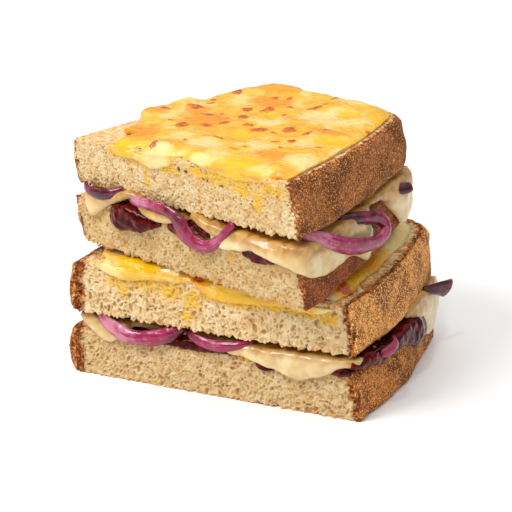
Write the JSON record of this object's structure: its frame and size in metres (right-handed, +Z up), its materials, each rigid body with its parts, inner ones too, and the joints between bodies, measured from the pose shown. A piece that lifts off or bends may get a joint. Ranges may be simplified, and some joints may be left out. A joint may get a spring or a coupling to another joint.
{
  "type": "grilled cheese sandwich",
  "caption": "Toasted cheese and onion sandwich cut across and stacked: thick farmhouse bread, melted cheese, red onion and dark chutney inside, toasted cheese on top.",
  "frame": {"origin": "bottom centre of the bounding box, on the surface the sandwich stands on", "axes": "+X along the cut of the lower half, from the loaf's domed top to its flat base; the cut faces look along -Y; +Z up"},
  "size_m": [0.1118, 0.0984, 0.0878],
  "materials": {
    "lower_bottom_bread": "pale open bread crumb with a brown crust",
    "lower_top_bread": "pale open bread crumb with a tan crust",
    "upper_bottom_bread": "pale open bread crumb with a dark crust",
    "upper_top_bread": "pale open bread crumb with a dark crust",
    "lower_chutney": "glossy dark red-brown chutney",
    "lower_cheese": "smooth melted cheese",
    "upper_chutney": "glossy dark red-brown chutney",
    "upper_cheese": "smooth melted cheese",
    "lower_toasted_cheese": "golden toasted cheese",
    "upper_toasted_cheese": "golden toasted cheese with brown blisters",
    "upper_onion_curl": "cooked red onion",
    "upper_onion_strip": "cooked red onion",
    "upper_onion_ring": "cooked red onion",
    "upper_onion_end": "cooked red onion",
    "lower_onion_arc": "cooked red onion",
    "lower_onion_strip": "cooked red onion",
    "lower_onion_bit": "cooked red onion",
    "lower_onion_end": "cooked red onion"
  },
  "bodies": {
    "root": {"lower_bottom_bread": "lower_bottom_bread", "lower_top_bread": "lower_top_bread", "upper_bottom_bread": "upper_bottom_bread", "upper_top_bread": "upper_top_bread", "lower_chutney": "lower_chutney", "lower_cheese": "lower_cheese", "upper_chutney": "upper_chutney", "upper_cheese": "upper_cheese", "lower_toasted_cheese": "lower_toasted_cheese", "upper_toasted_cheese": "upper_toasted_cheese", "upper_onion_curl": "upper_onion_curl", "upper_onion_strip": "upper_onion_strip", "upper_onion_ring": "upper_onion_ring", "upper_onion_end": "upper_onion_end", "lower_onion_arc": "lower_onion_arc", "lower_onion_strip": "lower_onion_strip", "lower_onion_bit": "lower_onion_bit", "lower_onion_end": "lower_onion_end"}
  },
  "joints": []
}
